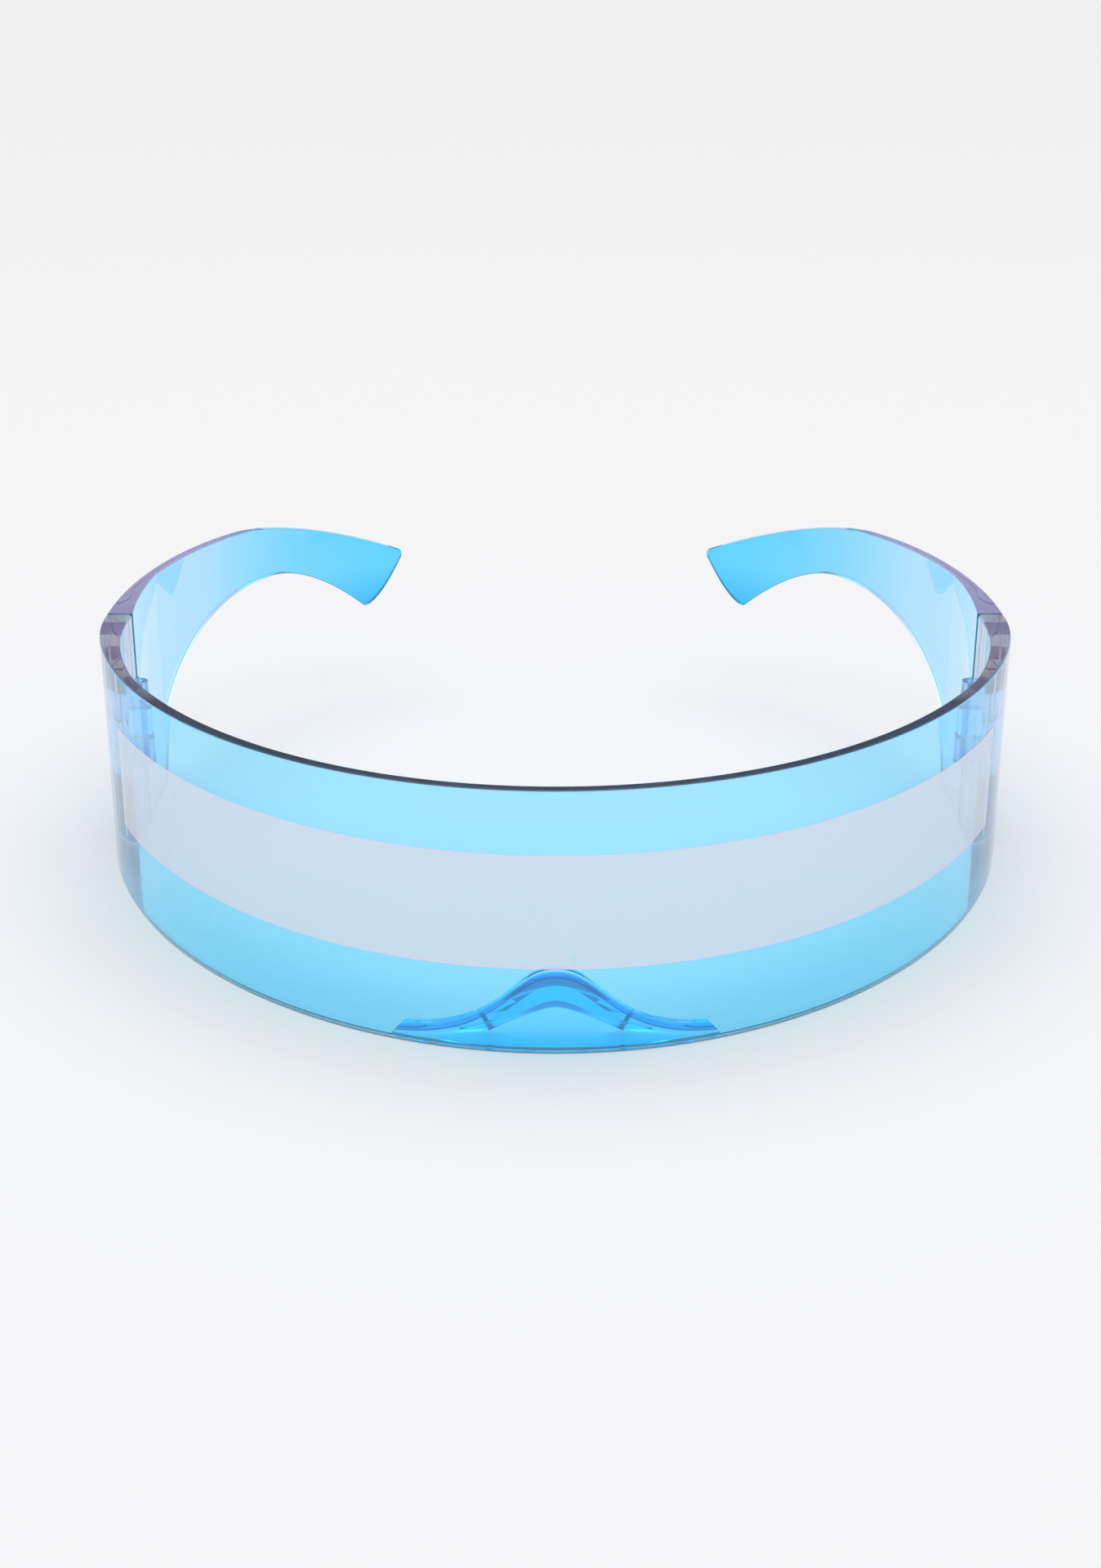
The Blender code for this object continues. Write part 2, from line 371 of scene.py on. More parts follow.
@dataclass(frozen=True)
class Blank:
    """A straight bar along X, rounded along every edge: Y runs through its wall and Z up its height."""

    wall: float
    low: float
    high: float
    corner: float = 0.00030
    end: float = 0.00022
    guard: float = 0.00004
    steps: int = 5

    def section(self, inset: float) -> list[Pair]:
        """Draw the bar's cross-section.

        Args:
            inset: How far the section is drawn in on every side.

        Returns:
            Its points, each as (through, up).
        """
        radius = self.corner - inset
        arc = [math.pi / 2 * i / self.steps for i in range(self.steps + 1)]
        turns = [(math.sin(angle), math.cos(angle)) for angle in arc]
        guard = self.guard / max(radius, self.guard)
        swing = [(turns[0][0] - guard, turns[0][1]), *turns, (turns[-1][0], turns[-1][1] - guard)]
        near, far = self.corner, self.wall - self.corner
        bottom, top = self.low + self.corner, self.high - self.corner
        points = []
        for right, rise in ((1, 1), (1, -1), (-1, -1), (-1, 1)):
            through = far if right > 0 else near
            up = top if rise > 0 else bottom
            ordered = swing if right == rise else reversed(swing)
            points += [(through + right * radius * a, up + rise * radius * b) for a, b in ordered]
        return points

    def mesh(self, stations: Sequence[float]) -> Mesh:
        """Loft the section through stations along X.

        Args:
            stations: Places along X, in order; the first and last are the bar's ends.

        Returns:
            A closed mesh with its faces outwards.
        """
        first, last = stations[0], stations[-1]
        margin = self.end + self.guard
        turns = [math.pi / 2 * i / self.steps for i in range(self.steps + 1)]
        rounds = [(self.end * (1 - math.sin(t)), self.end * (1 - math.cos(t))) for t in reversed(turns)]
        rounds.insert(0, (0.0, margin))
        inner = [x for x in stations if first + margin + self.guard < x < last - margin - self.guard]
        rings = [(first + along, inset) for along, inset in rounds]
        rings += [(first + margin, 0.0), *((x, 0.0) for x in inner), (last - margin, 0.0)]
        rings += [(last - along, inset) for along, inset in reversed(rounds)]
        points = [[(x, through, up) for through, up in self.section(inset)] for x, inset in rings]
        return lofted(points, "blank")


def add_piece(name: str, mesh: Mesh, material: Material) -> Object:
    """Link a mesh as a piece at the origin, smooth but for its sharp edges.

    Args:
        name: The piece's name.
        mesh: Its mesh, in place.
        material: Its finish.

    Returns:
        The object.
    """
    mesh.materials.clear()
    mesh.materials.append(material)
    mesh.shade_smooth()
    mesh.set_sharp_from_angle(angle=SMOOTH_ANGLE)
    return linked(name, mesh)


def carved(mesh: Mesh, cuts: Sequence[tuple[str, Mesh]]) -> Mesh:
    """Join solids to a mesh and cut solids from it.

    Args:
        mesh: The mesh to start from.
        cuts: Pairs of Boolean operation and mesh, in order.

    Returns:
        The new mesh.
    """
    holder = linked("carved", mesh)
    helpers = []
    for operation, other in cuts:
        helper = linked("helper", other)
        modifier = holder.modifiers.new(operation, "BOOLEAN")
        modifier.operation = operation
        modifier.solver = "EXACT"
        modifier.object = helper
        helpers.append(helper)
    bpy.context.view_layer.update()
    result = evaluated_mesh(holder)
    for obj in (holder, *helpers):
        bpy.data.objects.remove(obj)
    return result


@dataclass(frozen=True)
class Drum:
    """An upright cylinder, its rims rounded over if asked."""

    x: float
    y: float
    low: float
    high: float
    radius: float
    round_over: float = 0.0
    sides: int = 48
    rim_steps: int = 3

    def mesh(self) -> Mesh:
        """Return the cylinder's mesh, in place; its two caps are the only faces with over four corners."""
        bm = bmesh.new()
        size = {"radius1": self.radius, "radius2": self.radius, "depth": self.high - self.low}
        bmesh.ops.create_cone(bm, cap_ends=True, segments=self.sides, **size)
        if self.round_over:
            rims = [edge for edge in bm.edges if any(len(face.verts) > 4 for face in edge.link_faces)]
            shape = {"offset": self.round_over, "segments": self.rim_steps, "profile": 0.5}
            bmesh.ops.bevel(bm, geom=rims, affect="EDGES", **shape)
        bmesh.ops.translate(bm, verts=bm.verts, vec=(self.x, self.y, (self.low + self.high) / 2))
        return to_mesh(bm, "drum")


# ---- finishes


@dataclass(frozen=True)
class ClearPlastic(ABC):
    """Clear moulded plastic: the colour of one layer, a tint in its depth, faint marks of use, and painted
    light that it emits faintly.
    """

    name: str
    layer: Colour
    depth_tint: Colour
    density: float
    gloss: float = 0.012
    ior: float = 1.49
    waviness: float = 0.010
    wave_scale: float = 55.0
    wave_depth: float = 0.001
    scuff_scale: float = 900.0
    scuff_range: Pair = (0.62, 0.80)
    scuff_dulling: float = 0.05
    # painted light: the plastic emits a little light of its own, to brighten it where light passes through
    glow: float = 0.04
    glow_tint: Colour | None = None
    lamp_share: float = 0.2

    @abstractmethod
    def tone(self, graph: Graph, x: Term, behind: Term, z: Term, flow: Term) -> NodeSocket:
        """Build the colour of a layer from place to place.

        Args:
            graph: The material's tree.
            x: The place across.
            behind: The distance behind the front.
            z: The height.
            flow: A slow noise, as the plastic flowed in the mould.

        Returns:
            The colour's socket.
        """

    def material(self) -> Material:
        """Build the finish.

        Returns:
            A Principled glass with an absorbing inside that lets lamps through and emits a little painted
            light.
        """
        made = bpy.data.materials.new(self.name)
        graph = shader_graph(made)
        place = graph.node("ShaderNodeTexCoord").outputs["Object"]
        flow = graph.noise(place, self.wave_scale, detail=1.0)
        marks = graph.noise(place, self.scuff_scale, detail=4.0).share(*self.scuff_range)
        relief = graph.node(
            "ShaderNodeBump",
            sockets={"Strength": self.waviness, "Distance": self.wave_depth, "Height": flow},
        )
        x, y, z = graph.axes(place)
        tone = self.tone(graph, x, y - FRONT_Y, z, flow)
        glass = graph.node(
            "ShaderNodeBsdfPrincipled",
            sockets={
                "Base Color": tone,
                "Roughness": self.gloss + marks * self.scuff_dulling,
                "Transmission Weight": 1.0,
                "IOR": self.ior,
                # painted light: the plastic emits its own colour, or the given tint
                "Emission Color": (*self.glow_tint, 1.0) if self.glow_tint else tone,
                "Emission Strength": self.glow,
                "Normal": relief.outputs[0],
            },
        )
        clear = graph.node("ShaderNodeBsdfTransparent", sockets={"Color": (*self.face_tint(), 1.0)})
        rays = graph.node("ShaderNodeLightPath")
        both = graph.node(
            "ShaderNodeMixShader",
            sockets={0: rays.outputs["Is Shadow Ray"], 1: glass.outputs[0], 2: clear.outputs[0]},
        )
        inside = graph.node(
            "ShaderNodeVolumeAbsorption",
            sockets={"Color": (*self.depth_tint, 1.0), "Density": self.density},
        )
        graph.node(
            "ShaderNodeOutputMaterial", sockets={"Surface": both.outputs[0], "Volume": inside.outputs[0]}
        )
        return made

    def face_tint(self) -> Colour:
        """Return what one of a layer's two faces lets through of a lamp's light."""
        return tuple(channel ** (self.lamp_share / 2) for channel in self.layer)


@dataclass(frozen=True)
class EdgedPlastic(ClearPlastic):
    """Plastic whose flat rims are painted greyer than its faces, with painted shade and light, and which
    has painted shade in the hinge gap.
    """

    # painted light and shade on the flat rims towards the ends
    rim_end: Colour = (1.0, 0.92, 0.95)
    rim_depth: float = 0.00012
    # painted shade in the hinge gap, between the shield and the temple
    gap: Colour = (0.01, 0.06, 0.14)
    gap_range: Pair = (0.08108, 0.08165)
    hinge_middle: float = 0.0184
    hinge_half: float = 0.0073
    flow_least: float = 0.9
    flow_span: float = 0.2

    def uneven(self, share: Term, flow: Term) -> Term:
        """Return a share that the plastic's flow makes a little uneven."""
        return share * (self.flow_least + flow * self.flow_span)

    def edged(self, graph: Graph, body: Any, rim: Any, behind: Term, z: Term) -> NodeSocket:
        """Put the painted shade and light of the rims and the painted shade of the gap over the body's
        colour.

        Args:
            graph: The material's tree.
            body: The colour of the faces.
            rim: The colour of the rims, which is painted shade and light.
            behind: The distance behind the front.
            z: The height.

        Returns:
            The whole colour.
        """
        # painted shade and light: the flat top and bottom rims take the rim's painted colour
        on_painted_rim = (z > HEIGHT - self.rim_depth) + (z < self.rim_depth)
        # painted shade in the hinge gap, above and below the knuckles
        off_hinge = (z - self.hinge_middle).math("ABSOLUTE") > self.hinge_half
        in_gap_shade = behind.between(*self.gap_range) * off_hinge
        return graph.mix(in_gap_shade, graph.mix(on_painted_rim, body, rim), self.gap)


@dataclass(frozen=True)
class LensPlastic(EdgedPlastic):
    """The shield's plastic: painted shade makes it deeper low down, where the shaded floor shows through,
    greyer where it wraps round, and almost black on its front rim.
    """

    # painted shade: the lens is deeper towards the bottom, where the shaded, blue-lit floor shows through
    low_layer: Colour = (0.25, 0.77, 1.0)
    low_range: Pair = (0.032, 0.004)
    # painted shade: greyer where the lens wraps round, for the darker room it reflects at a glancing view
    wrap: Colour = (0.42, 0.60, 0.80)
    wrap_range: Pair = (0.046, 0.066)
    # painted shade and light on the flat rims: near black in front, paler towards the ends, with a violet
    # band near the hinge
    rim_front: Colour = (0.012, 0.015, 0.03)
    rim_range: Pair = (0.036, 0.060)
    rim_band: Colour = (0.40, 0.28, 0.48)
    band_range: Pair = (0.0695, 0.0765)

    def tone(self, graph: Graph, x: Term, behind: Term, z: Term, flow: Term) -> NodeSocket:
        """Return the colour of a layer, with the painted shade low down and where it wraps round, the
        painted rim shade and light, and the painted gap shade; see ClearPlastic.tone.
        """
        # painted shade where the lens wraps round, a little uneven
        wrap_shade_share = self.uneven(behind.share(*self.wrap_range), flow)
        # painted shade: deeper towards the bottom
        face = graph.mix(z.share(*self.low_range), self.layer, self.low_layer)
        body = graph.mix(wrap_shade_share, face, self.wrap)
        # painted shade and light on the rims: near black at the front, paler towards the ends, and a violet
        # band
        rim = graph.mix(behind.share(*self.rim_range), self.rim_front, self.rim_end)
        shade_banded = graph.mix(behind.between(*self.band_range), rim, self.rim_band)
        return self.edged(graph, body, shade_banded, behind, z)


@dataclass(frozen=True)
class TemplePlastic(EdgedPlastic):
    """The temples' plastic: deeper towards the tips, deepest at the tip's lower edge."""

    # where the painted shade of the temple's hinge gap lies
    gap_range: Pair = (0.0814, 0.08202)
    tip: Colour = (0.09, 0.67, 1.0)
    tip_range: Pair = (0.126, 0.160)
    heel: Colour = (0.02, 0.50, 0.98)
    heel_range: Pair = (0.146, 0.160)
    heel_heights: Pair = (0.0180, 0.0255)

    def tone(self, graph: Graph, x: Term, behind: Term, z: Term, flow: Term) -> NodeSocket:
        """Return the colour of a layer, with the tip, the rims' painted shade and light and the gap's
        painted shade; see ClearPlastic.tone.
        """
        deep = self.uneven(behind.share(*self.tip_range), flow)
        low = behind.share(*self.heel_range) * (1 - z.share(*self.heel_heights))
        body = graph.mix(low, graph.mix(deep, self.layer, self.tip), self.heel)
        # the rims take their painted shade and light
        return self.edged(graph, body, self.rim_end, behind, z)


@dataclass(frozen=True)
class Bell:
    """The nose bridge's upper line: a bell over the distance from the middle."""

    base: float = 0.0003
    rise: float = 0.0107
    half: float = 0.0088
    power: float = 2.4

    def height(self, off_middle: Any) -> Any:
        """Return the line's height at a distance from the middle, both as numbers or both as terms."""
        return self.base + self.rise / (1 + (off_middle / self.half) ** self.power)


@dataclass(frozen=True)
class BridgePlastic(ClearPlastic):
    """The nose bridge's plastic: a pale plate, a deep hood, and painted shade: a dark band where the two
    meet and near-black lines along the band, at the nose arch and in the hood's folds.
    """

    plate: Colour = (0.66, 0.93, 1.0)
    margin: Colour = (0.92, 0.98, 1.0)
    # painted shade: a dark band where plate and hood meet, and near-black lines along it, at the nose arch
    # and in the hood's folds
    band: Colour = (0.0, 0.30, 0.80)
    line: Colour = (0.0, 0.01, 0.05)
    plate_back: float = 0.0031
    plan_bend: float = 9.25
    bell: Bell = Bell()
    band_wall: float = 0.00075
    line_wall: float = 0.00016
    arch_from: float = 0.00684
    arch_half: float = 0.0042
    crease_at: float = 0.0083
    crease_half: float = 0.00035
    crease_slant: float = 0.25
    crease_top: float = 0.0036
    pale_below: float = 0.0016
    flow_shade: float = 0.9

    def tone(self, graph: Graph, x: Term, behind: Term, z: Term, flow: Term) -> NodeSocket:
        """Return the colour of a layer, with the plate and the painted shade of the band, the arch and the
        folds; see ClearPlastic.tone.
        """
        off_middle = x.math("ABSOLUTE")
        depth = behind - x * x * self.plan_bend
        on_hood = depth > self.plate_back
        under = self.bell.height(off_middle) - z
        # painted shade: the dark band below the bell line, with a near-black line along it
        in_shade_band = under.between(0.0, self.band_wall)
        in_shade_line = under.between(self.band_wall - self.line_wall, self.band_wall)
        # painted shade: the hood's rear at the nose arch and its folds are painted near black
        arch = (behind > self.arch_from) * (off_middle < self.arch_half)
        fold_at = z * self.crease_slant
        fold = (off_middle - self.crease_at - fold_at).math("ABSOLUTE") < self.crease_half
        crease_shade = fold * on_hood * (z < self.crease_top)
        deep = graph.mix(flow, self.layer, tuple(self.flow_shade * channel for channel in self.layer))
        hood = graph.mix(z.share(0.0, self.pale_below), self.plate, deep)
        body = graph.mix(on_hood, graph.mix(under > 0.0, self.margin, self.plate), hood)
        shade_banded = graph.mix(in_shade_band, body, self.band)
        return graph.mix((in_shade_line + arch + crease_shade).math("MINIMUM", 1.0), shade_banded, self.line)


@dataclass(frozen=True)
class MirrorFilm:
    """A silver film that mirrors its cover's share of the light and lets the rest through."""

    name: str
    silver: Colour
    fringe: Colour
    cover: float
    gloss: float
    fringe_wall: float = 0.0006
    grain_scale: float = 700.0
    grain_dulling: float = 0.06
    pinhole_range: Pair = (0.70, 0.74)
    pinhole_depth: float = 0.25

    def material(self) -> Material:
        """Build the finish.

        Returns:
            A metallic Principled shader, partly see-through.
        """
        made = bpy.data.materials.new(self.name)
        graph = shader_graph(made)
        place = graph.node("ShaderNodeTexCoord").outputs["Object"]
        grain = graph.noise(place, self.grain_scale, detail=3.0)
        pinholes = grain.share(*self.pinhole_range)
        z = graph.axes(place)[2]
        low, high = STRIPE
        half_height = (high - low) / 2
        off_middle = (z - (low + high) / 2).math("ABSOLUTE")
        outer = off_middle.share(half_height - self.fringe_wall, half_height)
        metal = graph.node(
            "ShaderNodeBsdfPrincipled",
            sockets={
                "Base Color": graph.mix(outer, self.silver, self.fringe),
                "Metallic": 1.0,
                "Roughness": self.gloss + grain * self.grain_dulling,
                "Alpha": self.cover - pinholes * self.pinhole_depth,
            },
        )
        graph.node("ShaderNodeOutputMaterial", sockets={"Surface": metal.outputs[0]})
        return made


# ---- the shield's plan


@dataclass(frozen=True)
class Plan:
    """The rounded half oval that the shield, the mirror stripe and the nose bridge follow."""

    half_width: float = 0.073
    depth: float = 0.080
    power: float = 1.21
    end: float = 0.0813
    lens_wall: float = 0.0019
    end_wall: float = 0.0042
    wall_grows_from: float = 0.046
    wall_full_at: float = 0.079
    samples: int = 900

    def point(self, turn: float, inset: float = 0.0) -> Vector:
        """Find a point of the plan, in from its front face.

        Args:
            turn: The plan angle from the middle, in radians.
            inset: The distance in from the front face.

        Returns:
            Its place across and its distance behind the front.
        """
        sine, cosine = math.sin(turn), max(math.cos(turn), 0.0)
        face = Vector((self.half_width * sine, self.depth * (1 - cosine**self.power)))
        along = Vector((self.half_width * cosine ** (2 - self.power), self.depth * self.power * sine))
        along.normalize()
        return face + inset * Vector((-along.y, along.x))

    def quarter_length(self) -> float:
        """Return the length of the front face from the middle to where it turns straight back."""
        points = [self.point(math.pi / 2 * i / self.samples) for i in range(self.samples + 1)]
        return sum((b - a).length for a, b in zip(points, points[1:]))

    def point_at(self, x: float, inset: float) -> Vector:
        """Return the point that is in from the front face's place at x."""
        return self.point(math.asin(x / self.half_width), inset)


class PlanBand:
    """A band that follows the plan: one Geometry Nodes tree bends a straight blank along it."""

    corner_steps = 8

    def __init__(self, plan: Plan, material: Material, name: str) -> None:
        """Build the tree.

        Args:
            plan: The plan to follow.
            material: The finish of the band.
            name: The tree's name.
        """
        tree = GeometryTree(name)
        half_width = tree.size("Half Width", plan.half_width)
        depth = tree.size("Depth", plan.depth)
        power = tree.size("Plan Power", plan.power)
        quarter = tree.size("Quarter Length", plan.quarter_length())
        face_inset = tree.size("Face Inset", 0.0)
        wall = tree.size("Wall", plan.lens_wall)
        end_wall = tree.size("End Wall", plan.end_wall)
        grows_from = tree.size("Wall Grows From", plan.wall_grows_from)
        full_at = tree.size("Wall Full At", plan.wall_full_at)
        corner_from = tree.size("Inner Corner From", 1.0)
        corner = tree.size("Inner Corner", 0.001)
        front = tree.size("Front", FRONT_Y)
        x, y, z = tree.place()
        along = x.math("ABSOLUTE")
        turn = (along / quarter).math("MINIMUM", 1.0) * (math.pi / 2)
        sine = turn.math("SINE")
        cosine = turn.math("COSINE").math("MAXIMUM", 0.0)
        plan_x = half_width * sine
        plan_y = depth * (1 - cosine**power) + (along - quarter).math("MAXIMUM", 0.0)
        run_x = half_width * cosine ** (2 - power)
        run_y = depth * power * sine
        run = (run_x * run_x + run_y * run_y).math("SQRT")
        growth = (end_wall - wall) * plan_y.share(grows_from, full_at)
        round_share = along.share(corner_from, corner_from + corner)
        rounding = corner * (1 - (1 - round_share * round_share).math("SQRT"))
        inner_half = y > wall * 0.5
        inset = face_inset + y + inner_half * (growth - rounding)
        out_x = (plan_x - run_y / run * inset) * x.math("SIGN")
        out_y = front + plan_y + run_x / run * inset
        tree.finish(out_x, out_y, z, material)
        self.tree = tree

    def mesh(self, name: str, blank: Blank, ends: Pair, pitch: float, sizes: dict[str, float]) -> Mesh:
        """Bend a blank along the plan.

        Args:
            name: The mesh's name.
            blank: The blank's cross-section.
            ends: Where the blank starts and ends along the front face, from its middle.
            pitch: The distance between stations.
            sizes: The tree's inputs that differ from the plan's own.

        Returns:
            The bent mesh.
        """
        first, last = ends
        count = 2 * round((last - first) / pitch / 2)
        stations = [first + (last - first) * i / count for i in range(count + 1)]
        corner_from = sizes.get("Inner Corner From")
        if corner_from is not None:
            steps = self.corner_steps
            extra = [corner_from + sizes["Inner Corner"] * i / steps for i in range(steps + 1)]
            stations = sorted({*stations, *extra, *(-x for x in extra)})
            stations = [x for x in stations if first <= x <= last]
        return self.tree.apply(name, blank.mesh(stations), sizes)


# ---- sub-assemblies


@dataclass(frozen=True)
class Knuckles:
    """The hinge at each end of the shield: two lugs on the shield and one tongue on the temple."""

    axis_x: float = 0.0688
    axis_behind: float = 0.08155
    low: float = 0.0114
    high: float = 0.0254
    tongue_low: float = 0.0160
    tongue_high: float = 0.0208
    radius: float = 0.0017
    bore: float = 0.00080
    pin: float = 0.00068
    pin_round: float = 0.00015
    gap: float = 0.0003
    reach: float = 0.002

    def drum(self, side: Side, low: float, high: float, *radii: float) -> Mesh:
        """Return an upright cylinder on a side's hinge axis; a second radius rounds its rims."""
        return Drum(side.value * self.axis_x, FRONT_Y + self.axis_behind, low, high, *radii).mesh()

    def shield_cuts(self, side: Side) -> list[tuple[str, Mesh]]:
        """Return what the shield's end gains and loses."""
        gap = self.gap
        slot_low, slot_high = self.tongue_low - gap, self.tongue_high + gap
        return [
            ("UNION", self.drum(side, self.low, slot_low, self.radius)),
            ("UNION", self.drum(side, slot_high, self.high, self.radius)),
            ("DIFFERENCE", self.drum(side, slot_low, slot_high, self.radius + gap)),
            ("DIFFERENCE", self.drum(side, self.low - gap, self.high + gap, self.bore)),
        ]

    def temple_cuts(self, side: Side) -> list[tuple[str, Mesh]]:
        """Return what the temple's root gains and loses."""
        gap, reach = self.gap, self.reach
        return [
            ("UNION", self.drum(side, self.tongue_low, self.tongue_high, self.radius)),
            ("DIFFERENCE", self.drum(side, self.low - gap, self.tongue_low, self.radius + gap)),
            ("DIFFERENCE", self.drum(side, self.tongue_high, self.high + gap, self.radius + gap)),
            ("DIFFERENCE", self.drum(side, self.tongue_low - reach, self.tongue_high + reach, self.bore)),
        ]

    def build_pin(self, side: Side, material: Material) -> Object:
        """Make one hinge pin.

        Args:
            side: The wearer's side.
            material: Its finish.

        Returns:
            The pin, riding on the front.
        """
        mesh = self.drum(side, self.low + self.gap, self.high - self.gap, self.pin, self.pin_round)
        piece = add_piece(f"hinge_pin_rod_{side.word}", mesh, material)
        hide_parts(f"hinge_pin_{side.word}")
        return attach(piece, "front")


@dataclass(frozen=True)
class Visor:
    """The tall curved shield and the mirror stripe on its front."""

    plan: Plan
    knuckles: Knuckles
    face_inset: float = 0.00006
    pitch: float = 0.0011
    inner_corner: float = 0.0010
    stripe_turn: float = math.radians(64)
    film_wall: float = 0.00004
    film_edge: float = 0.000012

    def build_shield(self, material: Material) -> Object:
        """Make the shield with its hinge lugs.

        Args:
            material: Its finish.

        Returns:
            The shield, riding on the front.
        """
        band = PlanBand(self.plan, material, "visor wall")
        reach = self.plan.quarter_length() + self.plan.end - self.plan.depth
        blank = Blank(self.plan.lens_wall - self.face_inset, 0.0, HEIGHT)
        sizes = {
            "Face Inset": self.face_inset,
            "Wall": blank.wall,
            "Inner Corner From": reach - self.inner_corner,
            "Inner Corner": self.inner_corner,
        }
        mesh = band.mesh("visor_shell", blank, (-reach, reach), self.pitch, sizes)
        cuts = [cut for side in Side for cut in self.knuckles.shield_cuts(side)]
        piece = add_piece("visor_shell", carved(mesh, cuts), material)
        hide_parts("shield")
        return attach(piece, "front")

    def build_stripe(self, material: Material) -> Object:
        """Make the mirror film on the shield's front.

        Args:
            material: Its finish.

        Returns:
            The film, riding on the front.
        """
        band = PlanBand(self.plan, material, "stripe film")
        reach = self.plan.quarter_length() * self.stripe_turn / (math.pi / 2)
        edge = self.film_edge
        blank = Blank(self.film_wall, *STRIPE, corner=edge, end=edge * 0.9, guard=edge * 0.05, steps=2)
        sizes = {"Wall": self.film_wall, "End Wall": self.film_wall}
        mesh = band.mesh("stripe_film", blank, (-reach, reach), self.pitch, sizes)
        piece = add_piece("stripe_film", mesh, material)
        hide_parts("mirror_stripe")
        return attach(piece, "front")


@dataclass(frozen=True)
class NoseBridge:
    """The bell-shaped bridge behind the lens: a bonding plate and a hood that slopes to the nose arch."""

    plan: Plan
    bell: Bell = Bell()
    flange_margin: float = 0.0006
    flange_shoulder: float = 0.0209
    flange_end: float = 0.0224
    plate_gap: float = 0.00006
    plate_wall: float = 0.0010
    hood_half_front: float = 0.0200
    hood_half_rear: float = 0.0087
    hood_rear_behind: float = 0.0070
    hood_rear_rise: float = 0.0036
    hood_rear_power: float = 1.5
    hood_foot: float = 0.0008
    hood_wall: float = 0.0011
    hood_root: float = 0.55
    steps_across: int = 96
    steps_back: int = 16

    def flange_top(self, x: float) -> float:
        """Return the upper edge of the bonding plate."""
        inner = min(abs(x), self.flange_shoulder)
        top = self.bell.height(inner) + self.flange_margin
        share = (abs(x) - inner) / (self.flange_end - self.flange_shoulder)
        return top + (self.bell.base - top) * share

    def plate(self) -> Mesh:
        """Return the plate, which follows the back of the lens."""
        shoulder, steps = self.flange_shoulder, self.steps_across
        inner = [shoulder * (2 * i / steps - 1) for i in range(steps + 1)]
        near = self.plan.lens_wall + self.plate_gap
        rings = []
        for x in (-self.flange_end, *inner, self.flange_end):
            front = self.plan.point_at(x, near)
            back = self.plan.point_at(x, near + self.plate_wall)
            top = self.flange_top(x)
            corners = ((front, 0.0), (front, top), (back, top), (back, 0.0))
            rings.append([(p.x, FRONT_Y + p.y, z) for p, z in corners])
        return lofted(rings, "plate")

    def hood_point(self, across: float, back: float) -> Vector:
        """Find a point of the hood's middle surface.

        Args:
            across: The place across, from -1 to 1.
            back: The place from the lens, 0, to the nose arch, 1.

        Returns:
            The point in the CAD frame.
        """
        x = self.hood_half_front * across
        near = self.plan.lens_wall + self.plate_gap + self.hood_root * self.plate_wall
        front = self.plan.point_at(x, near)
        start = Vector((front.x, front.y, self.bell.height(abs(x)) - self.hood_wall / 2))
        rise = self.hood_rear_rise * (1 - abs(across) ** self.hood_rear_power)
        end = Vector((self.hood_half_rear * across, self.hood_rear_behind, self.hood_foot + rise))
        return start.lerp(end, back) + Vector((0.0, FRONT_Y, 0.0))

    def hood(self) -> Mesh:
        """Return the hood as a closed shell."""
        bm = bmesh.new()
        grid = []
        for i in range(self.steps_across + 1):
            across = 2 * i / self.steps_across - 1
            places = [j / self.steps_back for j in range(self.steps_back + 1)]
            grid.append([bm.verts.new(self.hood_point(across, back)) for back in places])
        for near, far in zip(grid, grid[1:]):
            for j in range(self.steps_back):
                bm.faces.new((near[j], far[j], far[j + 1], near[j + 1]))
        holder = linked("hood", to_mesh(bm, "hood"))
        wall = holder.modifiers.new("wall", "SOLIDIFY")
        wall.thickness = self.hood_wall
        wall.offset = 0.0
        mesh = evaluated_mesh(holder)
        bpy.data.objects.remove(holder)
        return mesh

    def build(self, material: Material) -> Object:
        """Make the bridge.

        Args:
            material: Its finish.

        Returns:
            The bridge, riding on the front.
        """
        mesh = carved(self.plate(), [("UNION", self.hood())])
        piece = add_piece("nose_hood", mesh, material)
        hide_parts("nose_bridge")
        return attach(piece, "front")


